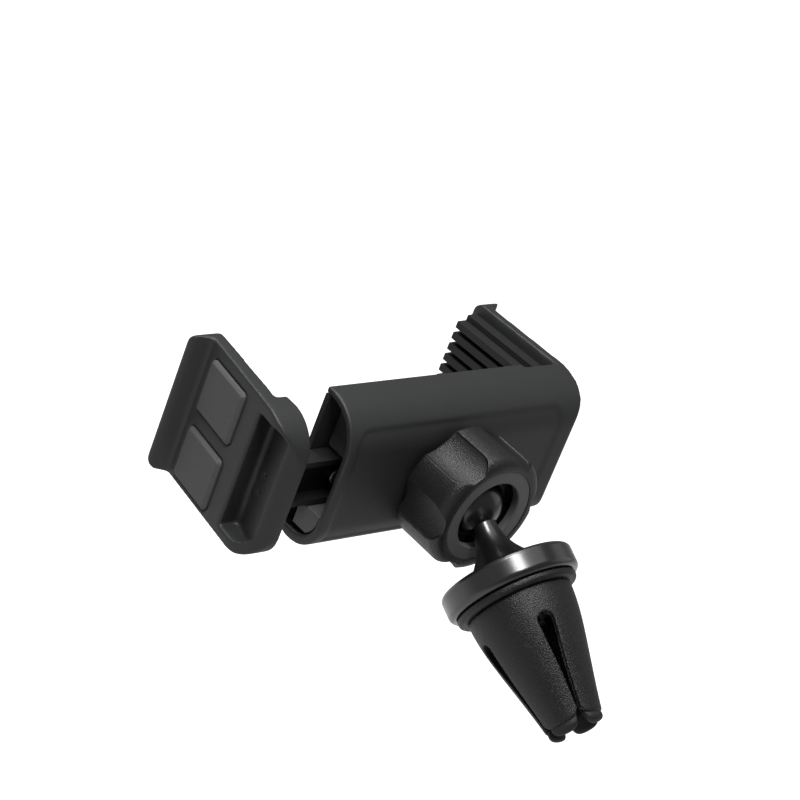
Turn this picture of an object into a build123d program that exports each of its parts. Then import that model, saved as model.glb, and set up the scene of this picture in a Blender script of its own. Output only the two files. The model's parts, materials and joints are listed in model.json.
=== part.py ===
from build123d import *
from math import cos, radians, sin, sqrt
import os

# Phone holder for a car air vent: a sprung sliding jaw, a ball joint and a slotted clip.
# X runs along the slide towards the moving jaw, Y points out of the back, Z runs up the phone.
# The origin lies on the ball joint's axis, in the plane that the phone's back rests on.
# All lengths are in millimetres, and the jaw stands open for a phone 67 mm wide.

# Housing shell
housing_top = 17.75
housing_bottom = -14.45
housing_back = 12.1
housing_front = 1.2
housing_open_end = 30.4
top_round = 9.6
low_round = 6.5
front_round = 3.0
shell_wall = 1.4
shell_floor = 2.2
cavity_end = -29.0
recess_depth = 0.35
recess_left = 28.1
recess_right = -27.6
recess_top = 13.35
recess_bottom = -11.25
recess_round = 3.0

# Jaws: both stand forward of the phone's back, lean inwards and end in a flared lip
jaw_front = -22.3
crease_y = -18.6
lip_flare = 3.4
lip_edge = 1.8
lip_round = 1.4
lip_tip_round = 1.2
lip_flank_round = 0.8
crease_round = 0.8
fixed_outer = -33.0
fixed_lean = 0.045
fixed_wall = 2.3
fixed_back_round = 2.6
fixed_front_round = 3.0
window_left = -21.9
window_y = 2.15
slide_outer = 45.53
slide_outer_lean = 0.146
slide_wall = 3.43
slide_inner_lean = 0.125
slide_front_top = 16.75
slide_rear_top = 16.0
slide_bottom = -14.0
slide_back = 11.45
slide_block = 6.13
slide_ledge = 0.6
slide_back_round = 5.6
slide_top_round = 8.4
slide_low_round = 4.8
slide_front_round = 3.2

# Finger scoop in the sliding jaw
scoop_front = 1.5
scoop_rear = 10.4
scoop_top = 13.5
scoop_bottom = -11.7
scoop_depth = 4.9
scoop_rear_depth = 2.4
scoop_top_round = 4.0
scoop_low_round = 5.0
scoop_small_round = 1.0

# Rubber inserts on the sliding jaw's outer face
insert_front = -16.4
insert_rear = -3.7
insert_upper_low = 2.35
insert_lower_low = -12.55
insert_height = 11.4
insert_proud = 0.75
insert_sunk = 0.65
insert_bevel = 0.6
insert_round = 1.0
insert_gap = 0.15

# Rubber pads
back_pad_wall = 1.3
back_pad_left = 28.6
back_pad_right = -20.9
back_pad_margin = 1.0
back_pad_round = 3.0
lining_wall = 1.0
lining_front = -20.3
lining_rear = 0.0
lining_margin = 1.9
rib_pitch = 2.6
rib_width = 1.5
lining_groove = 0.4
fixed_pad_front = -20.5
fixed_pad_rear = 0.9
fixed_pad_base = 2.6
fixed_pad_crest = 5.1
fixed_pad_margin = 2.4

# Front plate, its screws and the bosses that they bite in
plate_wall = 1.2
plate_inset = 0.1
plate_gap = 0.1
plate_low_edge = 0.5
boss_r = 1.8
boss_x = (20.0, -22.0, 14.0, -22.0)
boss_z = (11.75, 11.75, -9.15, -9.15)
screw_r = 0.9
screw_head_r = 1.6
screw_head = 0.9
screw_length = 6.0
stop_x = 8.0
stop_r = 1.5

# Slide arm and its guide
arm_top = 4.45
arm_bottom = -5.65
arm_wall = 1.2
arm_depth = 4.0
arm_inner_end = -18.0
arm_clearance = 0.3
travel_in = 8.7
travel_out = 22.0
arm_hook_x = 24.0
arm_hook_r = 1.2
arm_flange_depth = 5.0
arm_screw_r = 0.8
arm_screw_head_r = 1.4
arm_screw_head = 1.3
arm_screw_bite = 3.0
arm_screw_spacing = 3.9
rail_wall = 1.2
tab_wall = 1.3
guide_wall_x = 26.2
guide_wall = 1.5
guide_block_end = 30.0
guide_block_start = 17.0
guide_block_front = 4.5
guide_block_low = -11.05
guide_fit = 0.2

# Return spring between the arm's hook and a pin in the housing
pin_x = -24.0
pin_r = 1.0
pin_boss_r = 2.2
pin_boss_height = 2.3
spring_r = 1.15
spring_wire = 0.22
spring_turns = 9
spring_lead = 3.5

# Ball joint
ball_r = 6.1
ball_y = 19.4
ball_fit = 0.1
liner_wall = 0.9
liner_front = 2.4
socket_r = 8.4
socket_front = 2.6
socket_slot = 1.2
socket_slot_start = 14.5
socket_flange_r = 11.7
socket_flange = 1.6
socket_seat = 2.0
socket_seat_r = 13.2
socket_hole_fit = 0.2
socket_screw_r = 0.8
socket_screw_head_r = 1.5
socket_screw_circle = 10.1
socket_screw_bite = 2.6

# Lock nut
nut_r = 13.2
nut_base = 12.6
nut_front = 24.6
nut_round = 2.2
nut_base_round = 0.8
nut_rim = 0.15
nut_bore_gap = 0.3
nut_bore_end = 22.1
nut_throat_r = 7.9
nut_ring_r = 10.15
nut_ring_wall = 1.6
nut_ring_hole_r = 7.4
nut_ring_round = 0.3
scallops = 6
scallop_phase = 53.5
scallop_width = 7.8
scallop_reach = 24.9
scallop_depth = 1.75
scallop_floor_r = 9.0

# Vent clip, measured from the ball centre along the clip's own axis
clip_droop = 26.9
neck_r = 2.6
neck_end = 5.7
flare_mid_r = 3.1
flare_mid = 9.0
flare_r = 6.6
flare_end = 14.3
collar_r = 13.5
collar_shoulder = 15.8
collar_end = 20.75
collar_round = 1.0
collar_low_round = 1.2
flange_r = 12.3
flange_gap = 0.15
flange_end = 22.4
flange_round = 0.3
flange_low_round = 0.9
prong_profile = ((22.4, 10.62), (28.0, 10.1), (34.0, 8.85), (40.0, 7.42), (47.6, 5.75))
prong_wall = 1.7
prong_base_wall = 2.4
prong_lip_round = 0.6
slot_phase = 26.5
slots = 4
slot_half_width = 1.65
slot_mid_half_width = 0.75
slot_mid = 37.7
slot_tip_half_width = 0.25
slot_centre = 29.3
prong_corner_r = 2.4
pad_start = 33.3
pad_wall = 1.2
pad_proud = 1.5
pad_half_width = 3.4
pad_tip_half_width = 1.9
spigot_r = 4.0
spigot_fit = 0.15
washer_r = 6.4
washer_wall = 0.9
stud_screw_r = 1.5
stud_screw_head_r = 3.0
stud_screw_head = 1.8
stud_screw_depth = 7.0

# Planes that several pieces share
housing_inner_back = housing_back - shell_wall
cavity_bottom = housing_bottom + shell_floor
cavity_top = housing_top - shell_wall
plate_front = housing_front + plate_inset
plate_back = plate_front + plate_wall
tab_back = plate_back + tab_wall
web_front = plate_back + arm_clearance
web_back = web_front + arm_wall
arm_rear = web_front + arm_depth
arm_mid_z = (arm_top + arm_bottom) / 2
rail_top_z = arm_top + arm_clearance
rail_low_z = arm_bottom - arm_clearance
socket_seat_front = housing_inner_back - socket_seat
socket_flange_front = socket_seat_front - socket_flange
cavity_r = ball_r + ball_fit + liner_wall + ball_fit
plate_bottom = housing_bottom + front_round + plate_low_edge
slide_inner = slide_outer - slide_wall
slide_block_inner = slide_outer - slide_block
prong_base, prong_base_r = prong_profile[0]
prong_end, prong_tip_r = prong_profile[-1]

ball_centre = Vector(0, ball_y, 0)
clip_axis = Vector(0, cos(radians(clip_droop)), -sin(radians(clip_droop)))
clip_plane = Plane(origin=ball_centre, x_dir=(-1, 0, 0), z_dir=clip_axis)


def prism_x(face, low, high):
    """A face drawn in Y and Z, extruded along X from low to high."""
    return extrude(Plane.YZ.offset(low) * face, high - low)


def prism_y(face, low, high):
    """A face drawn in X and Z, extruded along Y from low to high."""
    return extrude(Plane.XZ.offset(-high) * face, high - low)


def prism_z(face, low, high):
    """A face drawn in X and Y, extruded along Z from low to high."""
    return extrude(Plane.XY.offset(low) * face, high - low)


def block(x, y, z):
    """A box between two values along each axis."""
    size = (x[1] - x[0], y[1] - y[0], z[1] - z[0])
    return Pos(x[0], y[0], z[0]) * Box(*size, align=(Align.MIN, Align.MIN, Align.MIN))


def outline(*points):
    """A closed flat face through the points."""
    return make_face(Polyline(*points, close=True))


def rounded(face, x, y, radius):
    """The face with its corner nearest to a point rounded."""
    corner = min(face.vertices(), key=lambda v: abs(v.X - x) + abs(v.Y - y))
    return fillet(corner, radius)


def rod_y(x, z, radius, low, high):
    """A round rod along Y."""
    return prism_y(Pos(x, z) * Circle(radius), low, high)


def turned(face, axis_plane):
    """A half profile of radius and height, turned about a plane's normal."""
    return axis_plane.location * revolve(Plane.XZ * face, Axis.Z)


joint_plane = Plane(origin=(0, 0, 0), x_dir=(1, 0, 0), z_dir=(0, 1, 0))


def turned_y(face):
    """A half profile of radius and Y, turned about the ball joint's axis."""
    return turned(face, joint_plane)


def ring_y(r_in, r_out, low, high):
    """A plain ring about the ball joint's axis."""
    return turned_y(outline((r_in, low), (r_out, low), (r_out, high), (r_in, high)))


def countersunk_y(x, z, shank_r, head_r, head, head_face, length):
    """A flat-headed screw along Y with its head's face at head_face, pointing out of the back."""
    profile = outline(
        (0, 0), (head_r, 0), (shank_r, head), (shank_r, length), (0, length)
    )
    return Pos(x, head_face, z) * turned_y(profile)


def housing_section(front, back, bottom, top, inset=0.0):
    """The shell's section in Y and Z, a D with a large round at the top of its back."""
    face = outline((front, bottom), (back, bottom), (back, top), (front, top))
    face = rounded(face, back, top, top_round - inset)
    face = rounded(face, back, bottom, low_round - inset)
    return face


def outer_section(front):
    face = housing_section(front, housing_back, housing_bottom, housing_top)
    return rounded(face, front, housing_bottom, front_round)


def inner_section(front, gap=0.0):
    low = cavity_bottom + gap
    high = cavity_top - gap
    return housing_section(front, housing_inner_back - gap, low, high, shell_wall + gap)


def fixed_outer_x(y):
    return fixed_outer - fixed_lean * y


def fixed_inner_x(y):
    return fixed_outer_x(y) + fixed_wall


def fixed_jaw_outline():
    """The fixed jaw and the shell's closed end, seen along Z."""
    tip_x = fixed_outer_x(crease_y) - lip_flare
    face = outline(
        (fixed_outer_x(housing_back), housing_back),
        (cavity_end, housing_back),
        (cavity_end, housing_front),
        (fixed_inner_x(housing_front), housing_front),
        (fixed_inner_x(jaw_front), jaw_front),
        (tip_x, jaw_front),
        (tip_x, jaw_front + lip_edge),
        (fixed_outer_x(crease_y), crease_y),
    )
    face = rounded(face, fixed_inner_x(jaw_front), jaw_front, lip_round)
    face = rounded(face, tip_x, jaw_front, lip_tip_round)
    face = rounded(face, tip_x, jaw_front + lip_edge, lip_flank_round)
    face = rounded(face, fixed_outer_x(crease_y), crease_y, crease_round)
    return rounded(face, fixed_outer_x(housing_back), housing_back, fixed_back_round)


def jaw_side(front, back, bottom, top, front_top, back_low, back_high, front_r):
    """A jaw's outline in Y and Z with its own radius at each corner."""
    face = outline((front, bottom), (back, bottom), (back, top), (front, front_top))
    face = rounded(face, back, top, back_high)
    face = rounded(face, back, bottom, back_low)
    face = rounded(face, front, front_top, front_r)
    return rounded(face, front, bottom, front_r)


def back_recess():
    """The shallow field in the shell's back, which follows the shell's own curve."""
    field = outline(
        (recess_right, recess_bottom),
        (recess_left, recess_bottom),
        (recess_left, recess_top),
        (recess_right, recess_top),
    )
    field = rounded(field, recess_right, recess_top, recess_round)
    field = rounded(field, recess_left, recess_top, recess_round)
    skin = outer_section(housing_front)
    core = housing_section(
        housing_front - 1,
        housing_back - recess_depth,
        housing_bottom + recess_depth,
        housing_top - recess_depth,
        recess_depth,
    )
    layer = prism_x(skin, recess_right, recess_left) - prism_x(
        core, recess_right - 1, recess_left + 1
    )
    return layer & prism_y(field, housing_front, housing_back + 1)


def make_rear_housing():
    """The shell, its bosses and the fixed jaw, moulded in one piece."""
    shell = prism_x(outer_section(housing_front), cavity_end, housing_open_end)
    side = jaw_side(
        jaw_front,
        housing_back,
        housing_bottom,
        housing_top,
        housing_top,
        low_round,
        top_round,
        fixed_front_round,
    )
    end = prism_z(fixed_jaw_outline(), housing_bottom, housing_top)
    end = end & prism_x(side, fixed_outer_x(crease_y) - lip_flare - 1, cavity_end)
    outside = shell + end
    body = outside - prism_x(inner_section(plate_back), cavity_end, housing_open_end)
    body -= block(
        (cavity_end, housing_open_end),
        (housing_front - 1, plate_back),
        (plate_bottom - plate_gap, cavity_top),
    )
    inside = prism_x(inner_section(plate_back), cavity_end, housing_open_end)
    for x, z in zip(boss_x, boss_z):
        body += rod_y(x, z, boss_r, tab_back, housing_inner_back + shell_wall / 2) & inside
    body += ring_y(0, socket_seat_r, socket_seat_front, housing_inner_back) & inside
    pin_boss_low = housing_inner_back - pin_boss_height
    body += rod_y(pin_x, arm_mid_z, pin_boss_r, pin_boss_low, housing_inner_back)
    body -= ring_y(0, socket_r + socket_hole_fit, socket_seat_front - 1, housing_back + 1)
    for x, z in zip(boss_x, boss_z):
        body -= rod_y(x, z, screw_r, tab_back - 1, plate_front + screw_length)
    for x, z in socket_screw_places():
        body -= rod_y(x, z, socket_screw_r, socket_seat_front - 1, socket_screw_end())
    body -= rod_y(pin_x, arm_mid_z, pin_r, pin_boss_low - 1, housing_inner_back)
    body -= block(
        (fixed_inner_x(window_y), window_left),
        (housing_front - 1, window_y),
        (cavity_top - 1, housing_top + 1),
    )
    return body - back_recess()


def make_front_plate():
    """The flat cover on the phone's side, with the post that stops the slide arm."""
    plate = block(
        (cavity_end + plate_gap, housing_open_end - plate_gap),
        (plate_front, plate_back),
        (plate_bottom, cavity_top - plate_gap),
    )
    plate += rod_y(stop_x, arm_mid_z, stop_r, plate_back - 0.1, web_back + plate_gap)
    for x, z in zip(boss_x, boss_z):
        plate -= plate_screw(x, z)
    return plate


def plate_screw(x, z):
    return countersunk_y(x, z, screw_r, screw_head_r, screw_head, plate_front, screw_length)


def make_plate_screws():
    return Compound(children=[plate_screw(x, z) for x, z in zip(boss_x, boss_z)])


def make_back_pad():
    """The rubber pad that the phone's back rests on."""
    bottom = plate_bottom + back_pad_margin
    top = cavity_top - plate_gap - back_pad_margin
    size = (back_pad_left - back_pad_right, top - bottom)
    face = RectangleRounded(*size, back_pad_round)
    middle = ((back_pad_left + back_pad_right) / 2, (top + bottom) / 2)
    return prism_y(Pos(*middle) * face, plate_front - back_pad_wall, plate_front)


def make_fixed_jaw_pad():
    """The ribbed rubber pad in the fixed jaw, its ribs running front to back."""
    low = housing_bottom + fixed_pad_margin
    high = housing_top - fixed_pad_margin
    count = int((high - low - rib_width) // rib_pitch) + 1
    first = (low + high) / 2 - (count - 1) * rib_pitch / 2
    lean = Plane(
        origin=(fixed_inner_x(0), 0, 0), x_dir=(1, fixed_lean, 0), z_dir=(-fixed_lean, 1, 0)
    )
    base = Pos(fixed_pad_base / 2, -(low + high) / 2) * Rectangle(fixed_pad_base, high - low)
    for number in range(count):
        height = first + number * rib_pitch
        rib = Pos(fixed_pad_crest / 2, -height) * Rectangle(fixed_pad_crest, rib_width)
        base += rib
    length = fixed_pad_rear - fixed_pad_front
    return extrude(lean.offset(fixed_pad_front) * base, length)


def slide_outer_x(y):
    return slide_outer + slide_outer_lean * y


def slide_inner_x(y):
    return slide_inner + slide_inner_lean * y


def slide_jaw_outline():
    """The sliding jaw seen along Z: rear block, leaning wall and flared lip."""
    tip_x = slide_outer_x(crease_y) + lip_flare
    face = outline(
        (slide_block_inner, slide_back),
        (slide_block_inner, slide_ledge),
        (slide_inner_x(slide_ledge), slide_ledge),
        (slide_inner_x(jaw_front), jaw_front),
        (tip_x, jaw_front),
        (tip_x, jaw_front + lip_edge),
        (slide_outer_x(crease_y), crease_y),
        (slide_outer_x(slide_back), slide_back),
    )
    face = rounded(face, slide_inner_x(jaw_front), jaw_front, lip_round)
    face = rounded(face, tip_x, jaw_front, lip_tip_round)
    face = rounded(face, tip_x, jaw_front + lip_edge, lip_flank_round)
    face = rounded(face, slide_outer_x(crease_y), crease_y, crease_round)
    return rounded(face, slide_outer_x(slide_back), slide_back, slide_back_round)


def finger_scoop():
    """The hollow in the rear block: a steep front wall and a floor that rises to the rear."""
    far = slide_outer_x(slide_back) + 5
    deep_x = slide_outer_x(scoop_front) - scoop_depth
    wedge = outline(
        (far, scoop_front),
        (deep_x, scoop_front),
        (slide_outer_x(scoop_rear) - scoop_rear_depth, scoop_rear),
        (far, scoop_rear),
    )
    wedge = rounded(wedge, deep_x, scoop_front, scoop_small_round)
    field = jaw_side(
        scoop_front,
        scoop_rear,
        scoop_bottom,
        scoop_top,
        scoop_top,
        scoop_low_round,
        scoop_top_round,
        scoop_small_round,
    )
    return prism_z(wedge, scoop_bottom, scoop_top) & prism_x(field, deep_x - 1, far)


def outer_face_plane(low):
    """The plane of the sliding jaw's outer face, centred on an insert that starts at low."""
    mid_y = (insert_front + insert_rear) / 2
    centre = (slide_outer_x(mid_y), mid_y, low + insert_height / 2)
    return Plane(origin=centre, x_dir=(slide_outer_lean, 1, 0), z_dir=(1, -slide_outer_lean, 0))


def insert_body(low, gap, proud):
    plane = outer_face_plane(low)
    length = (insert_rear - insert_front) * sqrt(1 + slide_outer_lean**2)
    face = RectangleRounded(length + 2 * gap, insert_height + 2 * gap, insert_round + gap)
    return extrude(plane.offset(-insert_sunk) * face, insert_sunk + proud)


def make_insert(low):
    """One raised rubber square with a bevelled rim."""
    body = insert_body(low, 0.0, insert_proud)
    normal = Axis((0, 0, 0), (1, -slide_outer_lean, 0))
    rim = body.faces().sort_by(normal)[-1].edges()
    return chamfer(rim, insert_bevel)


def lining_block(extra):
    """The rubber lining's place on the sliding jaw's inner face."""
    face = outline(
        (slide_inner_x(lining_front), lining_front),
        (slide_inner_x(lining_rear), lining_rear),
        (slide_inner_x(lining_rear) + lining_wall, lining_rear),
        (slide_inner_x(lining_front) + lining_wall, lining_front),
    )
    return prism_z(face, slide_bottom + lining_margin - extra, slide_rear_top - lining_margin + extra)


def make_jaw_grip_pad():
    """The rubber lining with shallow grooves that run front to back."""
    pad = lining_block(0.0)
    low = slide_bottom + lining_margin
    high = slide_rear_top - lining_margin
    gap = rib_pitch - rib_width
    count = int((high - low - rib_width) // rib_pitch)
    first = (low + high) / 2 - (count - 1) * rib_pitch / 2
    plane = Plane(
        origin=(slide_inner, 0, 0), x_dir=(1, -slide_inner_lean, 0), z_dir=(slide_inner_lean, 1, 0)
    )
    for number in range(count):
        height = first + number * rib_pitch
        face = Pos(0, -height) * Rectangle(2 * lining_groove, gap)
        pad -= extrude(plane.offset(lining_front - 5) * face, 30)
    return pad


def arm_screw_places():
    y = web_back + arm_screw_head_r + 0.2
    offset = arm_screw_spacing / 2
    return ((y, arm_mid_z + offset), (y, arm_mid_z - offset))


def arm_screw(y, z):
    head_x = slide_block_inner - arm_wall
    head = prism_x(Pos(y, z) * Circle(arm_screw_head_r), head_x - arm_screw_head, head_x)
    return head + prism_x(
        Pos(y, z) * Circle(arm_screw_r), head_x, slide_block_inner + arm_screw_bite
    )


def make_arm_screws():
    return Compound(children=[arm_screw(y, z) for y, z in arm_screw_places()])


def make_slide_jaw():
    """The sliding jaw, moulded in one piece with its rear block."""
    side = jaw_side(
        jaw_front,
        slide_back,
        slide_bottom,
        slide_rear_top,
        slide_front_top,
        slide_low_round,
        slide_top_round,
        slide_front_round,
    )
    jaw = prism_z(slide_jaw_outline(), slide_bottom, slide_front_top)
    jaw = jaw & prism_x(side, slide_block_inner - 5, slide_outer_x(slide_back) + 5)
    jaw -= finger_scoop()
    jaw -= lining_block(0.0)
    for low in (insert_upper_low, insert_lower_low):
        jaw -= insert_body(low, insert_gap, insert_proud)
    for y, z in arm_screw_places():
        jaw -= prism_x(
            Pos(y, z) * Circle(arm_screw_r),
            slide_block_inner - 1,
            slide_block_inner + arm_screw_bite,
        )
    return jaw


def make_slide_arm():
    """The channel that carries the jaw: a slotted web, two shelves, a hook and an end flange."""
    x = (arm_inner_end, slide_block_inner)
    arm = block(x, (web_front, web_back), (arm_bottom, arm_top))
    arm += block(x, (web_front, arm_rear), (arm_top - arm_wall, arm_top))
    arm += block(x, (web_front, arm_rear), (arm_bottom, arm_bottom + arm_wall))
    flange_x = (slide_block_inner - arm_wall, slide_block_inner)
    arm += block(flange_x, (web_front, web_front + arm_flange_depth), (arm_bottom, arm_top))
    arm += rod_y(arm_hook_x, arm_mid_z, arm_hook_r, web_back - 0.1, arm_rear)
    slot_start = stop_x - travel_out - stop_r - arm_clearance
    slot_end = stop_x + travel_in + stop_r + arm_clearance
    length = slot_end - slot_start
    slot = SlotOverall(length, 2 * (stop_r + arm_clearance))
    middle = (slot_start + slot_end) / 2
    arm -= prism_y(Pos(middle, arm_mid_z) * slot, web_front - 1, web_back)
    for y, z in arm_screw_places():
        arm -= prism_x(Pos(y, z) * Circle(arm_screw_r), flange_x[0] - 1, flange_x[1] + 1)
    return arm


def make_slide_guide():
    """The frame that the arm runs in: two rails, their ends and four screwed tabs."""
    start = cavity_end + guide_fit
    y = (plate_back, arm_rear)
    guide = block((start, guide_wall_x), y, (rail_top_z, rail_top_z + rail_wall))
    guide += block((start, guide_wall_x), y, (rail_low_z - rail_wall, rail_low_z))
    guide += block((start, start + rail_wall), y, (rail_low_z - rail_wall, rail_top_z + rail_wall))
    section = inner_section(plate_back, guide_fit)
    guide += block(
        (guide_wall_x - guide_wall, guide_wall_x),
        (plate_back, housing_back),
        (rail_top_z, housing_top),
    ) & prism_x(section, guide_wall_x - guide_wall, guide_wall_x)
    guide += block(
        (guide_block_start, guide_block_end),
        (guide_block_front, housing_back),
        (guide_block_low, rail_low_z),
    ) & prism_x(section, guide_block_start, guide_block_end)
    for x, z in zip(boss_x, boss_z):
        inner_z = rail_top_z if z > 0 else rail_low_z
        low, high = sorted((inner_z, z))
        tab = block((x - boss_r, x + boss_r), (plate_back, tab_back), (low, high))
        guide += tab + rod_y(x, z, boss_r, plate_back, tab_back)
    for x, z in zip(boss_x, boss_z):
        guide -= rod_y(x, z, screw_r, plate_back - 1, tab_back + 1)
    return guide


def spring_axis_y():
    return web_back + spring_r + spring_wire + arm_clearance


def make_spring_pin():
    low = spring_axis_y() - 2 * spring_wire - 0.1
    return rod_y(pin_x, arm_mid_z, pin_r, low, housing_inner_back)


def make_return_spring():
    """A stretched coil with a straight lead and an eye at each end."""
    start = pin_x + pin_r + spring_lead
    end = arm_hook_x - arm_hook_r - spring_lead
    length = end - start
    coil_path = Helix(length / spring_turns, length, spring_r)
    wire = Plane(origin=coil_path @ 0, z_dir=coil_path % 0) * Circle(spring_wire)
    coil = sweep(wire, path=coil_path, is_frenet=True)
    place = Plane(origin=(start, spring_axis_y(), arm_mid_z), x_dir=(0, 1, 0), z_dir=(1, 0, 0))
    spring = place.location * coil
    for x, eye_x, eye_r in ((start, pin_x, pin_r), (end, arm_hook_x, arm_hook_r)):
        inner = eye_x + (eye_r if x > eye_x else -eye_r)
        low, high = sorted((x, inner))
        lead = prism_x(
            Pos(spring_axis_y(), arm_mid_z) * Circle(spring_wire), low, high
        )
        spoke = Pos(x, spring_axis_y(), arm_mid_z) * Rot(-90, 0, 0) * Cylinder(
            spring_wire, spring_r, align=(Align.CENTER, Align.CENTER, Align.MIN)
        )
        ring = Pos(eye_x, spring_axis_y(), arm_mid_z) * Rot(90, 0, 0) * Torus(
            eye_r + spring_wire, spring_wire
        )
        spring = spring + lead + spoke + ring
    return spring


def socket_screw_places():
    reach = socket_screw_circle * sin(radians(45))
    return [(x, z) for x in (-reach, reach) for z in (-reach, reach)]


def socket_screw_end():
    return socket_flange_front + socket_flange + socket_screw_bite - 0.6


def socket_screw(x, z):
    head = socket_screw_head_r - socket_screw_r
    length = socket_screw_end() - socket_flange_front
    return countersunk_y(
        x, z, socket_screw_r, socket_screw_head_r, head, socket_flange_front, length
    )


def make_socket_screws():
    return Compound(children=[socket_screw(x, z) for x, z in socket_screw_places()])


def ball_sphere(radius):
    return Pos(*ball_centre) * Sphere(radius)


def make_ball_socket():
    """The split cup around the ball, screwed into the housing by its flange."""
    socket = ring_y(0, socket_flange_r, socket_flange_front, socket_seat_front)
    cavity = inner_section(plate_back, socket_hole_fit)
    socket = socket & prism_x(cavity, -socket_flange_r, socket_flange_r)
    socket += ring_y(0, socket_r, socket_flange_front, ball_y + socket_front)
    socket -= ball_sphere(cavity_r)
    slot = block(
        (-socket_slot / 2, socket_slot / 2),
        (socket_slot_start, ball_y + socket_front + 1),
        (-socket_r - 1, socket_r + 1),
    )
    socket -= slot
    socket -= Rot(0, 90, 0) * slot
    for x, z in socket_screw_places():
        socket -= socket_screw(x, z)
    return socket


def make_ball_liner():
    """The thin friction cup between the ball and the socket."""
    shell = ball_sphere(ball_r + ball_fit + liner_wall) - ball_sphere(ball_r + ball_fit)
    front = block(
        (-2 * ball_r, 2 * ball_r), (ball_y + liner_front, ball_y + 3 * ball_r), (-2 * ball_r, 2 * ball_r)
    )
    return shell - front


def scallop_tool():
    """One U-shaped grip hollow with a concave floor, open at the nut's base, facing +X."""
    half = scallop_width / 2
    leg_length = scallop_reach - half - nut_base + 1
    mouth = Circle(half) + Pos(0, -leg_length / 2) * Rectangle(scallop_width, leg_length)
    plane = Plane(origin=(nut_r - 5, scallop_reach - half, 0), x_dir=(0, 0, -1), z_dir=(1, 0, 0))
    floor_axis = nut_r - scallop_depth + scallop_floor_r
    rod = rod_y(floor_axis, 0, scallop_floor_r, nut_base - 1, scallop_reach + 1)
    return extrude(plane * mouth, 10) & rod


def make_lock_nut():
    """The round nut with six grip hollows, which squeezes the socket onto the ball."""
    bore = socket_r + nut_bore_gap
    seat = nut_front - nut_ring_wall
    profile = outline(
        (bore, nut_base),
        (nut_r, nut_base),
        (nut_r, nut_front + nut_rim),
        (nut_ring_r, nut_front + nut_rim),
        (nut_ring_r, seat),
        (nut_throat_r, seat),
        (nut_throat_r, nut_bore_end + (bore - nut_throat_r)),
        (bore, nut_bore_end),
    )
    profile = rounded(profile, nut_r, nut_front + nut_rim, nut_round)
    profile = rounded(profile, nut_r, nut_base, nut_base_round)
    nut = turned_y(profile)
    tool = scallop_tool()
    for number in range(scallops):
        angle = scallop_phase + number * 360 / scallops
        nut -= Rot(0, -angle, 0) * tool
    return nut


def make_nut_ring():
    """The ring let into the nut's front face."""
    profile = outline(
        (nut_ring_hole_r, nut_front - nut_ring_wall),
        (nut_ring_r, nut_front - nut_ring_wall),
        (nut_ring_r, nut_front),
        (nut_ring_hole_r, nut_front),
    )
    profile = rounded(profile, nut_ring_hole_r, nut_front, nut_ring_round)
    return turned_y(profile)


def make_ball_stud():
    """Ball, neck, flared stem and collar, one glossy turned piece with a spigot for the clip."""
    ball_start = sqrt(ball_r**2 - neck_r**2)
    neck = Line((neck_r, ball_start), (neck_r, neck_end))
    flare = Spline(
        (neck_r, neck_end), (flare_mid_r, flare_mid), (flare_r, flare_end), tangents=((0, 1), (1, 1))
    )
    rest = Polyline(
        (flare_r, flare_end),
        (collar_r, collar_shoulder),
        (collar_r, collar_end),
        (spigot_r, collar_end),
        (spigot_r, flange_end + prong_base_wall + flange_gap),
        (0, flange_end + prong_base_wall + flange_gap),
        (0, -ball_r),
    )
    ball = ThreePointArc((0, -ball_r), (ball_r, 0), (neck_r, ball_start))
    face = make_face([ball, neck, flare, rest])
    face = rounded(face, collar_r, collar_shoulder, collar_round)
    face = rounded(face, collar_r, collar_end, collar_low_round)
    stud = turned(face, clip_plane)
    return stud - stud_screw_shank()


def stud_screw_shank():
    top = flange_end + prong_base_wall + flange_gap
    plane = clip_plane.offset(top - stud_screw_depth)
    return extrude(plane * Circle(stud_screw_r), stud_screw_depth + washer_wall)


def make_stud_washer():
    """The washer that holds the clip on the stud's spigot."""
    low = flange_end + prong_base_wall + flange_gap
    face = outline(
        (stud_screw_r, low), (washer_r, low), (washer_r, low + washer_wall), (stud_screw_r, low + washer_wall)
    )
    return turned(face, clip_plane)


def make_stud_screw():
    """The screw in the stud's spigot, with a round cross-slotted head."""
    low = flange_end + prong_base_wall + flange_gap + washer_wall
    head = extrude(clip_plane.offset(low) * Circle(stud_screw_head_r), stud_screw_head)
    for angle in (0, 90):
        bar = Rot(0, 0, angle) * Rectangle(0.7, 3.6)
        head -= extrude(clip_plane.offset(low + stud_screw_head / 2) * bar, stud_screw_head)
    return head + stud_screw_shank()


def make_clip_flange():
    """The matt ring between the collar and the prongs."""
    low = collar_end + flange_gap
    inner = spigot_r + spigot_fit
    face = outline((inner, low), (flange_r, low), (flange_r, flange_end), (inner, flange_end))
    face = rounded(face, flange_r, low, flange_round)
    face = rounded(face, flange_r, flange_end, flange_low_round)
    return turned(face, clip_plane)


def prong_layer(outer_inset, inner_inset):
    """The half section between two insets from the prongs' barrel-shaped outside."""
    outer = Spline(*[(r - outer_inset, length) for length, r in prong_profile])
    inner = Spline(*[(r - inner_inset, length) for length, r in prong_profile])
    base = Line(inner @ 0, outer @ 0)
    tip = Line(inner @ 1, outer @ 1)
    return make_face([outer, inner, base, tip])


def radial_plane(angle):
    """A plane through the clip's axis: x across the radius, y along the axis, facing outwards."""
    out = clip_plane.x_dir * cos(radians(angle)) + clip_plane.y_dir * sin(radians(angle))
    across = clip_plane.z_dir.cross(out)
    return Plane(origin=ball_centre, x_dir=across, z_dir=out)


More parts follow.
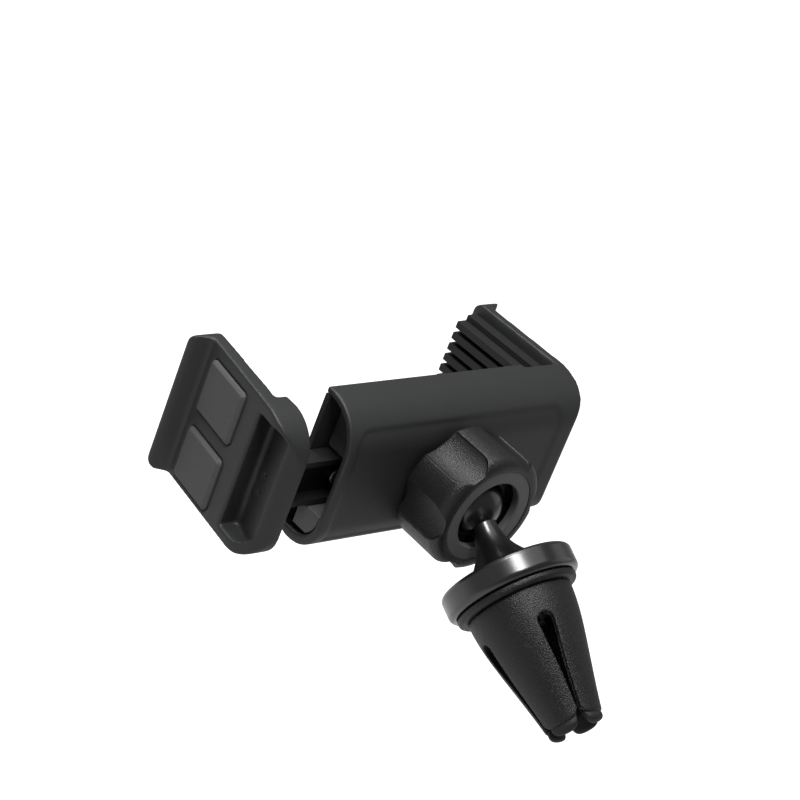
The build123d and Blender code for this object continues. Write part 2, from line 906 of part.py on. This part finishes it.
def slot_outline():
    """A tapered slot with a round inner end and rounded prong corners at its mouth."""
    taper = outline(
        (-slot_half_width, slot_centre),
        (slot_half_width, slot_centre),
        (slot_mid_half_width, slot_mid),
        (slot_tip_half_width, prong_end),
        (slot_tip_half_width, prong_end + 2),
        (-slot_tip_half_width, prong_end + 2),
        (-slot_tip_half_width, prong_end),
        (-slot_mid_half_width, slot_mid),
    )
    corner = slot_tip_half_width + prong_corner_r
    mouth = Pos(0, prong_end - prong_corner_r / 2 + 1) * Rectangle(2 * corner, prong_corner_r + 2)
    for side in (-corner, corner):
        mouth -= Pos(side, prong_end - prong_corner_r) * Circle(prong_corner_r)
    return Pos(0, slot_centre) * Circle(slot_half_width) + taper + mouth


def make_clip_prongs():
    """The hollow cone, cut into four springy prongs by two crossed slots."""
    hub = spigot_r + spigot_fit
    floor = flange_end + prong_base_wall
    face = prong_layer(0, prong_wall)
    hub_end = prong_base_r - prong_wall
    face += outline((hub, prong_base), (hub_end, prong_base), (hub_end, floor), (hub, floor))
    face = rounded(face, prong_tip_r, prong_end, prong_lip_round)
    prongs = turned(face, clip_plane)
    slot = slot_outline()
    for number in range(slots):
        plane = radial_plane(slot_phase + number * 360 / slots)
        prongs -= extrude(plane * slot, prong_base_r + 2)
    return prongs


def make_prong_liner(number):
    """The rubber liner of one prong, whose rounded tip stands out of the prong's end."""
    tip = prong_end + pad_proud
    tip_r = prong_tip_r - prong_wall
    pad_r = tip_r - pad_wall
    band = outline(
        (0, pad_start), (prong_base_r, pad_start), (prong_base_r, prong_end), (0, prong_end)
    )
    face = prong_layer(prong_wall, prong_wall + pad_wall) & band
    face += outline((pad_r, prong_end), (tip_r, prong_end), (tip_r, tip), (pad_r, tip))
    shell = turned(face, clip_plane)
    width = outline(
        (-pad_half_width, pad_start),
        (pad_half_width, pad_start),
        (pad_tip_half_width, tip),
        (-pad_tip_half_width, tip),
    )
    width = rounded(width, pad_tip_half_width, tip, pad_tip_half_width * 0.9)
    width = rounded(width, -pad_tip_half_width, tip, pad_tip_half_width * 0.9)
    plane = radial_plane(slot_phase + (number + 0.5) * 360 / slots)
    return shell & extrude(plane * width, prong_base_r)


parts = {
    "rear_housing": make_rear_housing(),
    "front_plate": make_front_plate(),
    "plate_screws": make_plate_screws(),
    "back_pad": make_back_pad(),
    "fixed_jaw_pad": make_fixed_jaw_pad(),
    "slide_guide": make_slide_guide(),
    "spring_pin": make_spring_pin(),
    "return_spring": make_return_spring(),
    "ball_socket": make_ball_socket(),
    "socket_screws": make_socket_screws(),
    "slide_jaw": make_slide_jaw(),
    "jaw_grip_pad": make_jaw_grip_pad(),
    "jaw_insert_upper": make_insert(insert_upper_low),
    "jaw_insert_lower": make_insert(insert_lower_low),
    "slide_arm": make_slide_arm(),
    "arm_screws": make_arm_screws(),
    "lock_nut": make_lock_nut(),
    "nut_ring": make_nut_ring(),
    "ball_liner": make_ball_liner(),
    "ball_stud": make_ball_stud(),
    "stud_washer": make_stud_washer(),
    "stud_screw": make_stud_screw(),
    "clip_flange": make_clip_flange(),
    "clip_prongs": make_clip_prongs(),
}
for number in range(slots):
    parts[f"prong_liner_{number + 1}"] = make_prong_liner(number)

os.makedirs("parts", exist_ok=True)
for name, shape in parts.items():
    export_step(shape, f"parts/{name}.step")
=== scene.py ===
import json
from math import cos, pi, radians, sin

import bpy
from mathutils import Matrix, Vector


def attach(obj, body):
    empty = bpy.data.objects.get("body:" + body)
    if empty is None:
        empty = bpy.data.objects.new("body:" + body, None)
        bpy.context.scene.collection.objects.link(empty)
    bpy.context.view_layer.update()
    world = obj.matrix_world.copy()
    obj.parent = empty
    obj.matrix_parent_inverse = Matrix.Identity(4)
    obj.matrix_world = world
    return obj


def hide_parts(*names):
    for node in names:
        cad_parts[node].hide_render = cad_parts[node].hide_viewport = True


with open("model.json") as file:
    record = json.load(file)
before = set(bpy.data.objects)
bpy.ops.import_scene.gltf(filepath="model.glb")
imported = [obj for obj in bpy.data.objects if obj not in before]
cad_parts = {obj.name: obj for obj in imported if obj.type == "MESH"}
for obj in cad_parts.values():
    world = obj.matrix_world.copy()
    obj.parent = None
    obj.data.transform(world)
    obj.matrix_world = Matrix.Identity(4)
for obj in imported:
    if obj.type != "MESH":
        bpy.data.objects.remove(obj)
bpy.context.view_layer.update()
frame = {"nodes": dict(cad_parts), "record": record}
nodes = frame["nodes"]
slots = {part["node"]: part["material_slot"] for part in frame["record"]["subparts"]}

MM = 0.001

# The photograph's camera: where it stands, what it points at, its roll, its lens and sensor in mm, and
# the nearest thing that it sees, in metres
CAMERA_AT = Vector((346.47, 279.07, 231.87)) * MM
CAMERA_AIM = Vector((3.79, -3.37, 8.70)) * MM
CAMERA_ROLL = radians(21.62)
CAMERA_LENS = 114.34
SENSOR_WIDTH = 36.0
NEAREST_SEEN = 0.01

# The paper floor: its height and side in metres, its own grey, and how much white is added to it
# where the camera sees it and where gloss mirrors it
FLOOR_Z = -0.16
FLOOR_SIDE = 6.0
PAPER_GREY = 0.52
FLOOR_LIFT = 0.92
FLOOR_IN_GLOSS = 0.1

# The strength of the white room's own light
ROOM = 0.18

# Softboxes that hang level, with their sides along X and Y: name, place, sides in metres, power in watts
LEVEL_SOFTBOXES = (
    ("top_softbox", (0.215, 0.11, 0.56), (0.18, 0.36), 3.8),
    ("back_softbox", (0.08, -0.32, 0.56), (0.2, 0.38), 2.2),
    ("ceiling_softbox", (-0.1, -0.05, 1.1), (0.9, 0.9), 2.6),
)

# Softboxes that stand beside the object and point at it, given in the same way
SIDE_SOFTBOXES = (
    ("right_softbox", (-0.7, 0.25, 0.3), (0.6, 0.6), 0.4),
    ("left_softbox", (0.8, 0.05, 0.15), (0.8, 0.6), 0.2),
)

# Each finish: base colour, roughness, grains to a metre, and depth of the grain in metres.
# The finishes of the nut's ring and the slide guide are no slots of the record. They are paler copies of
# their slots' finishes, painted lighter to stand for the light that falls on the raised ring and on the
# guide's top.
FINISHES = {
    "housing_plastic": ((0.017, 0.0178, 0.0175), 0.5, 4200, 0.00002),
    "inner_plastic": ((0.008, 0.008, 0.008), 0.5, 2500, 0.00002),
    "nut_plastic": ((0.0065, 0.0067, 0.0066), 0.36, 3600, 0.00015),
    "stud_gloss": ((0.004, 0.004, 0.0042), 0.3, 1500, 0.000002),
    "clip_plastic": ((0.0024, 0.0026, 0.0025), 0.42, 4200, 0.00015),
    "pad_rubber": ((0.006, 0.006, 0.006), 0.65, 2500, 0.00004),
    "insert_rubber": ((0.06, 0.0604, 0.0604), 0.62, 2500, 0.00004),
    "ring_painted_lit_plastic": ((0.11, 0.111, 0.1105), 0.5, 4200, 0.00002),
    "guide_painted_lit_plastic": ((0.06, 0.0605, 0.0603), 0.45, 3000, 0.00002),
    "steel": ((0.5, 0.5, 0.5), 0.35, 900, 0.00001),
}

# The fine grain, how much its pits add to its height, and how strongly it is seen
GRAIN_DETAIL = 3.0
GRAIN_ROUGHNESS = 0.6
PIT_DEPTH = 0.6
BUMP_STRENGTH = 0.6

# The slow cloud over every finish: clouds to a metre, their detail, and how strong the cloud is
CLOUD_SCALE = 90.0
CLOUD_DETAIL = 2.0
UNEVENNESS = 0.25

# What a full cloud would do: this many times the base colour, and this much added to the roughness,
# which starts a little below the finish's own so that its mean stays about the same
PALEST = 1.9
ROUGHNESS_SPREAD = 0.2
ROUGHNESS_DROP = 0.02

# The clear coat over the stud's gloss, soft enough to blur what it mirrors
COAT_ROUGHNESS = 0.2

# Corners of a CAD node's loose triangles that are nearer than this, in metres, are one corner
MERGE_GAP = 0.000003

# How far each smoothing pass moves a point towards the middle of its neighbours
SMOOTHING = 0.5

# Where the arm screws end, in mm along X, so that their points stay below the finger scoop's floor
SCREW_END_X = 41.2

# What fills the two holes that those points leave in the scoop's floor: centre, radius, length, in mm
SCREW_HOLE_PLUGS = (
    ((39.66, 4.0, 0.75), 1.05, 4.6),
    ((39.66, 4.0, -3.15), 1.05, 4.6),
)
PLUG_SIDES = 24

# The free edge of the sliding jaw's lip: the way that it faces, where it ends at the top and the bottom,
# how round each end is, in mm, and the angles of the flats that make it so, in degrees
LIP_OUTWARDS = Vector((0.92, -0.39, 0))
LIP_TOP_END = (46.25, -21.4, 16.75)
LIP_BOTTOM_END = (46.25, -21.4, -14.0)
LIP_TOP_RADIUS = 2.6
LIP_BOTTOM_RADIUS = 2.2
FLAT_ANGLES = (22.5, 45, 67.5)

# The vent clip: its axis from the ball's centre, which is in mm, and the two directions across the axis
BALL_CENTRE = Vector((0, 19.4, 0))
CLIP_DROOP = radians(26.9)
CLIP_AXIS = Vector((0, cos(CLIP_DROOP), -sin(CLIP_DROOP)))
CLIP_SIDE = Vector((-1, 0, 0))
CLIP_UP = CLIP_AXIS.cross(CLIP_SIDE)

# Its prongs, and the angle of the first slot between them, in degrees from CLIP_SIDE
PRONGS = 4
SLOT_PHASE = 26.5

# A prong's rubber tip, from inside the prong to its rounded end:
# distance along the axis, distance out from it, half width and half thickness, in mm
TIP_STATIONS = (
    (33.4, 6.5, 1.9, 0.45),
    (34.6, 6.2, 2.5, 0.8),
    (38.0, 5.3, 2.6, 0.95),
    (42.0, 4.35, 2.6, 1.0),
    (45.4, 3.6, 2.7, 1.0),
    (46.6, 3.9, 3.0, 1.2),
    (47.6, 4.3, 3.0, 1.25),
    (48.4, 4.4, 2.8, 1.2),
    (49.0, 4.3, 2.2, 1.0),
    (49.35, 4.1, 1.1, 0.5),
)

# The sides of the oval that a tip is drawn out from, and how often the drawn tip is subdivided
TIP_SIDES = 24
TIP_LEVELS = 2


def emptied_tree(material):
    """The node tree of a new material, with nothing in it."""
    material.use_nodes = True
    material.node_tree.nodes.clear()
    return material.node_tree


def add_node(tree, kind, place, **settings):
    """Adds a node and gives it its settings."""
    node = tree.nodes.new(kind)
    node.location = place
    for name, value in settings.items():
        setattr(node, name, value)
    return node


def moulding_grain():
    """A shader group: the height of a fine pitted grain, and a slow, faint cloud."""
    group = bpy.data.node_groups.new("moulding_grain", "ShaderNodeTree")
    face = group.interface
    face.new_socket("Grain Scale", in_out="INPUT", socket_type="NodeSocketFloat")
    face.new_socket("Unevenness", in_out="INPUT", socket_type="NodeSocketFloat")
    face.new_socket("Height", in_out="OUTPUT", socket_type="NodeSocketFloat")
    face.new_socket("Cloud", in_out="OUTPUT", socket_type="NodeSocketFloat")
    inputs = add_node(group, "NodeGroupInput", (-700, 0))
    outputs = add_node(group, "NodeGroupOutput", (500, 0))
    place = add_node(group, "ShaderNodeTexCoord", (-700, -250))
    grain = add_node(group, "ShaderNodeTexNoise", (-400, 100))
    grain.inputs["Detail"].default_value = GRAIN_DETAIL
    grain.inputs["Roughness"].default_value = GRAIN_ROUGHNESS
    pits = add_node(group, "ShaderNodeTexVoronoi", (-400, -200))
    cloud = add_node(group, "ShaderNodeTexNoise", (-400, -450))
    cloud.inputs["Scale"].default_value = CLOUD_SCALE
    cloud.inputs["Detail"].default_value = CLOUD_DETAIL
    pitted = add_node(group, "ShaderNodeMath", (-100, 0), operation="MULTIPLY_ADD")
    pitted.inputs[1].default_value = PIT_DEPTH
    spread = add_node(group, "ShaderNodeMath", (-100, -450), operation="MULTIPLY")
    link = group.links.new
    link(place.outputs["Object"], grain.inputs["Vector"])
    link(place.outputs["Object"], pits.inputs["Vector"])
    link(place.outputs["Object"], cloud.inputs["Vector"])
    link(inputs.outputs["Grain Scale"], grain.inputs["Scale"])
    link(inputs.outputs["Grain Scale"], pits.inputs["Scale"])
    link(pits.outputs["Distance"], pitted.inputs[0])
    link(grain.outputs["Fac"], pitted.inputs[2])
    link(pitted.outputs[0], outputs.inputs["Height"])
    link(cloud.outputs["Fac"], spread.inputs[0])
    link(inputs.outputs["Unevenness"], spread.inputs[1])
    link(spread.outputs[0], outputs.inputs["Cloud"])
    return group


GRAIN = moulding_grain()


def moulded(name, colour, roughness, grains, depth):
    """A finish whose colour and roughness vary with the cloud, and whose bump is the grain."""
    material = bpy.data.materials.new(name)
    tree = emptied_tree(material)
    out = add_node(tree, "ShaderNodeOutputMaterial", (600, 0))
    shader = add_node(tree, "ShaderNodeBsdfPrincipled", (300, 0))
    grain = add_node(tree, "ShaderNodeGroup", (-500, 0), node_tree=GRAIN)
    grain.inputs["Grain Scale"].default_value = grains
    grain.inputs["Unevenness"].default_value = UNEVENNESS
    tint = add_node(tree, "ShaderNodeMix", (0, 200), data_type="RGBA")
    tint.inputs["A"].default_value = (*colour, 1.0)
    tint.inputs["B"].default_value = (*[min(1.0, PALEST * c) for c in colour], 1.0)
    rough = add_node(tree, "ShaderNodeMath", (0, -50), operation="MULTIPLY_ADD")
    rough.inputs[1].default_value = ROUGHNESS_SPREAD
    rough.inputs[2].default_value = roughness - ROUGHNESS_DROP
    bump = add_node(tree, "ShaderNodeBump", (0, -250))
    bump.inputs["Strength"].default_value = BUMP_STRENGTH
    bump.inputs["Distance"].default_value = depth
    link = tree.links.new
    link(grain.outputs["Cloud"], tint.inputs["Factor"])
    link(tint.outputs["Result"], shader.inputs["Base Color"])
    link(grain.outputs["Cloud"], rough.inputs[0])
    link(rough.outputs[0], shader.inputs["Roughness"])
    link(grain.outputs["Height"], bump.inputs["Height"])
    link(bump.outputs["Normal"], shader.inputs["Normal"])
    link(shader.outputs["BSDF"], out.inputs["Surface"])
    return material


MATERIALS = {name: moulded(name, *values) for name, values in FINISHES.items()}


def shader_inputs(finish):
    """The sockets of a finish's own shader."""
    return MATERIALS[finish].node_tree.nodes["Principled BSDF"].inputs


def metal_steel():
    """Makes the steel a metal."""
    shader_inputs("steel")["Metallic"].default_value = 1.0


def coated_stud():
    """Gives the stud's gloss its clear coat."""
    shader_inputs("stud_gloss")["Coat Weight"].default_value = 1.0
    shader_inputs("stud_gloss")["Coat Roughness"].default_value = COAT_ROUGHNESS


def dress_cad_nodes():
    """Gives each CAD node the finish of its slot, and the nut's ring a paler one of its own, painted
    lighter to stand for the light on it.
    """
    for name, obj in nodes.items():
        obj.data.materials.clear()
        obj.data.materials.append(MATERIALS[slots[name]])
    nodes["nut_ring"].data.materials[0] = MATERIALS["ring_painted_lit_plastic"]


def body_of(node):
    """The name of the body that a CAD node belongs to."""
    bodies = frame["record"]["behaviour"]["bodies"]
    return next(body for body, members in bodies.items() if node in members)


def placed(piece, node, finish=None):
    """Makes a piece ride with the node's body and stand for the node, in the node's finish or another."""
    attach(piece, body_of(node))
    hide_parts(node)
    piece.data.materials.clear()
    piece.data.materials.append(MATERIALS[finish or slots[node]])


def pick(piece):
    """Selects one piece and nothing else."""
    bpy.ops.object.select_all(action="DESELECT")
    piece.select_set(True)
    bpy.context.view_layer.objects.active = piece


def edit_all(piece):
    """Opens a piece in edit mode with all of it selected."""
    pick(piece)
    bpy.ops.object.mode_set(mode="EDIT")
    bpy.ops.mesh.select_all(action="SELECT")


def end_edit():
    """Goes back to object mode."""
    bpy.ops.object.mode_set(mode="OBJECT")


def trim(point, normal):
    """In edit mode, takes off what lies beyond a plane and closes the cut."""
    bpy.ops.mesh.select_all(action="SELECT")
    bpy.ops.mesh.bisect(plane_co=point, plane_no=normal, use_fill=True, clear_outer=True)


def turn_outwards(piece):
    """Makes all the faces of a closed piece point outwards."""
    edit_all(piece)
    bpy.ops.mesh.normals_make_consistent(inside=False)
    end_edit()


def apply_all(piece):
    """Applies the piece's modifiers in their order."""
    pick(piece)
    for modifier in list(piece.modifiers):
        bpy.ops.object.modifier_apply(modifier=modifier.name)


def merged_copy(node, name):
    """A copy of a node's mesh with its loose triangles joined."""
    piece = nodes[node].copy()
    piece.data = nodes[node].data.copy()
    piece.name = name
    bpy.context.scene.collection.objects.link(piece)
    edit_all(piece)
    bpy.ops.mesh.remove_doubles(threshold=MERGE_GAP)
    end_edit()
    return piece


def softened(node, skin, rounding, plugs=(), cuts=(), keep=0.6, finish=None):
    """The node's own shape with its moulded edges rounded off, in place of the sharp-edged solid.

    skin is the spacing in mm of the even mesh that the copy gets, rounding is how often that mesh is
    smoothed, and keep is the share of its faces that stays. Before that, each plug, (centre, radius,
    length) in mm, fills a hole along X, and each cut, (point in mm, normal), takes off a corner.
    """
    piece = merged_copy(node, f"{node}_soft_edged")
    edit_all(piece)
    for centre, radius, length in plugs:
        bpy.ops.mesh.primitive_cylinder_add(
            vertices=PLUG_SIDES, radius=radius * MM, depth=length * MM,
            location=Vector(centre) * MM, rotation=(0, pi / 2, 0),
        )
    for point, normal in cuts:
        trim(point * MM, normal)
    end_edit()
    even = piece.modifiers.new("even_skin", "REMESH")
    even.mode = "VOXEL"
    even.voxel_size = skin * MM
    even.use_smooth_shade = True
    smooth = piece.modifiers.new("edge_round", "SMOOTH")
    smooth.factor = SMOOTHING
    smooth.iterations = rounding
    thin = piece.modifiers.new("fewer_faces", "DECIMATE")
    thin.ratio = keep
    apply_all(piece)
    placed(piece, node, finish)


def lip_end_cuts(end, up, radius):
    """The flats that round off one end of the lip's free edge: the top end if up is 1, the bottom if -1.

    Each flat touches a round of the given radius that is set into the corner.
    """
    cuts = []
    for angle in FLAT_ANGLES:
        along = cos(radians(angle))
        rise = sin(radians(angle))
        normal = along * LIP_OUTWARDS + Vector((0, 0, up * rise))
        cuts.append((Vector(end) - radius * (along + rise - 1) * normal, normal))
    return cuts


def sliding_jaw():
    """The sliding jaw, with the screws' holes filled and the ends of its lip rounded off."""
    softened(
        "slide_jaw", skin=0.22, rounding=28, keep=0.45,
        plugs=SCREW_HOLE_PLUGS,
        cuts=lip_end_cuts(LIP_TOP_END, 1, LIP_TOP_RADIUS)
        + lip_end_cuts(LIP_BOTTOM_END, -1, LIP_BOTTOM_RADIUS),
    )


def arm_screws():
    """The arm's screws with their points taken off."""
    piece = merged_copy("arm_screws", "arm_screws_ended_below")
    edit_all(piece)
    trim((SCREW_END_X * MM, 0, 0), (1, 0, 0))
    end_edit()
    placed(piece, "arm_screws")


def rubber_tip(number):
    """The soft rubber tongue of one prong, drawn out along the prong from a flat oval."""
    angle = radians(SLOT_PHASE + (number + 0.5) * 360 / PRONGS)
    outwards = cos(angle) * CLIP_SIDE + sin(angle) * CLIP_UP
    across = CLIP_AXIS.cross(outwards)
    bpy.ops.object.select_all(action="DESELECT")
    bpy.ops.mesh.primitive_circle_add(vertices=TIP_SIDES, radius=MM, fill_type="NGON")
    piece = bpy.context.object
    piece.name = f"prong_rubber_tip_{number + 1}"
    edit_all(piece)
    along, out, width, thickness = TIP_STATIONS[0]
    bpy.ops.transform.resize(value=(width, thickness, 1))
    bpy.ops.transform.translate(value=(0, out * MM, along * MM))
    for next_along, next_out, next_width, next_thickness in TIP_STATIONS[1:]:
        step = (0, (next_out - out) * MM, (next_along - along) * MM)
        bpy.ops.mesh.extrude_region_move(TRANSFORM_OT_translate={"value": step})
        bpy.ops.transform.resize(
            value=(next_width / width, next_thickness / thickness, 1),
            center_override=(0, next_out * MM, next_along * MM),
        )
        along, out, width, thickness = next_along, next_out, next_width, next_thickness
    end_edit()
    turn_outwards(piece)
    turn = Matrix((across, outwards, CLIP_AXIS)).transposed().to_4x4()
    piece.data.transform(Matrix.Translation(BALL_CENTRE * MM) @ turn)
    round_off = piece.modifiers.new("round_off", "SUBSURF")
    round_off.levels = TIP_LEVELS
    round_off.render_levels = TIP_LEVELS
    apply_all(piece)
    turn_outwards(piece)
    bpy.ops.object.shade_smooth()
    placed(piece, f"prong_liner_{number + 1}")


def aim(obj, place, target, roll=0.0):
    """Turns an object so that its -Z points at the target, rolled about that line."""
    forward = (target - place).normalized()
    level_right = forward.cross(Vector((0, 0, 1))).normalized()
    level_up = level_right.cross(forward)
    right = cos(roll) * level_right + sin(roll) * level_up
    up = right.cross(forward)
    turn = Matrix((right, up, -forward)).transposed().to_4x4()
    obj.matrix_world = Matrix.Translation(place) @ turn


def add_camera():
    """The camera, where the photograph's stood."""
    camera = bpy.data.objects.new("camera", bpy.data.cameras.new("camera"))
    bpy.context.scene.collection.objects.link(camera)
    camera.data.lens = CAMERA_LENS
    camera.data.sensor_width = SENSOR_WIDTH
    camera.data.clip_start = NEAREST_SEEN
    aim(camera, CAMERA_AT, CAMERA_AIM, CAMERA_ROLL)
    bpy.context.scene.camera = camera


def floor_paper():
    """Grey paper that the camera sees as white through added glow, and gloss as a little paler."""
    material = bpy.data.materials.new("floor_paper")
    tree = emptied_tree(material)
    out = add_node(tree, "ShaderNodeOutputMaterial", (800, 0))
    paper = add_node(tree, "ShaderNodeBsdfDiffuse", (0, 100))
    paper.inputs["Color"].default_value = (PAPER_GREY, PAPER_GREY, PAPER_GREY, 1)
    glow = add_node(tree, "ShaderNodeEmission", (200, -100))
    rays = add_node(tree, "ShaderNodeLightPath", (-400, -100))
    seen = add_node(tree, "ShaderNodeMath", (-200, -50), operation="MAXIMUM")
    mirrored = add_node(tree, "ShaderNodeMath", (-200, -250), operation="MULTIPLY")
    mirrored.inputs[1].default_value = FLOOR_IN_GLOSS
    lift = add_node(tree, "ShaderNodeMath", (0, -100), operation="MULTIPLY_ADD")
    lift.inputs[1].default_value = FLOOR_LIFT
    both = add_node(tree, "ShaderNodeAddShader", (500, 0))
    link = tree.links.new
    link(rays.outputs["Is Camera Ray"], seen.inputs[0])
    link(rays.outputs["Is Transmission Ray"], seen.inputs[1])
    link(rays.outputs["Is Glossy Ray"], mirrored.inputs[0])
    link(seen.outputs[0], lift.inputs[0])
    link(mirrored.outputs[0], lift.inputs[2])
    link(lift.outputs[0], glow.inputs["Strength"])
    link(paper.outputs["BSDF"], both.inputs[0])
    link(glow.outputs["Emission"], both.inputs[1])
    link(both.outputs["Shader"], out.inputs["Surface"])
    return material


def add_floor():
    """A wide sheet of paper well under the object."""
    bpy.ops.mesh.primitive_plane_add(size=FLOOR_SIDE, location=(0, 0, FLOOR_Z))
    floor = bpy.context.object
    floor.name = "floor"
    floor.data.materials.append(floor_paper())


def add_room():
    """A white room, dimly lit."""
    world = bpy.data.worlds.new("studio")
    world.use_nodes = True
    background = world.node_tree.nodes["Background"]
    background.inputs["Color"].default_value = (1, 1, 1, 1)
    background.inputs["Strength"].default_value = ROOM
    bpy.context.scene.world = world


def add_softbox(name, sides, power):
    """A rectangular area lamp, still at the origin."""
    lamp = bpy.data.lights.new(name, "AREA")
    lamp.shape = "RECTANGLE"
    lamp.size, lamp.size_y = sides
    lamp.energy = power
    softbox = bpy.data.objects.new(name, lamp)
    bpy.context.scene.collection.objects.link(softbox)
    return softbox


metal_steel()
coated_stud()
dress_cad_nodes()

softened("rear_housing", skin=0.3, rounding=18, keep=0.5)
sliding_jaw()
softened("lock_nut", skin=0.16, rounding=6)
softened("clip_prongs", skin=0.18, rounding=7)
softened("jaw_insert_upper", skin=0.12, rounding=5)
softened("jaw_insert_lower", skin=0.12, rounding=5)
# The slide guide wears a finish painted lighter than its slot's, to stand for the light on its top.
softened("slide_guide", skin=0.25, rounding=6, finish="guide_painted_lit_plastic")
arm_screws()
for number in range(PRONGS):
    rubber_tip(number)

add_camera()
add_floor()
add_room()
for name, place, sides, power in LEVEL_SOFTBOXES:
    add_softbox(name, sides, power).matrix_world = Matrix.Translation(place)
for name, place, sides, power in SIDE_SOFTBOXES:
    aim(add_softbox(name, sides, power), Vector(place), Vector((0, 0, 0)))
bpy.context.scene.view_settings.view_transform = "Standard"
